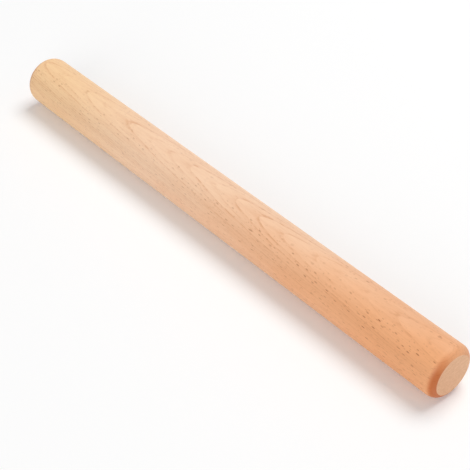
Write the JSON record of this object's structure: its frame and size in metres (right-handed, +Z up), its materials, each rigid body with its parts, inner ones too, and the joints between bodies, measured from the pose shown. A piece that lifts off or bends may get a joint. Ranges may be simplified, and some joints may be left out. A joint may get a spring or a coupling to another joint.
{
  "type": "rolling pin",
  "caption": "Straight handle-less wooden rolling pin of even diameter, turned in one piece, with rounded shoulders and small flat end faces.",
  "frame": {"origin": "on the table plane, under the middle of the pin's length", "axes": "+X along the pin, +Z up from the table, +Y across the pin"},
  "size_m": [0.4, 0.035, 0.035],
  "materials": {
    "beech": "bare steamed beech, sanded smooth, with slightly burnished rounded ends"
  },
  "bodies": {
    "root": {"rolling_pin": "beech"}
  },
  "joints": []
}
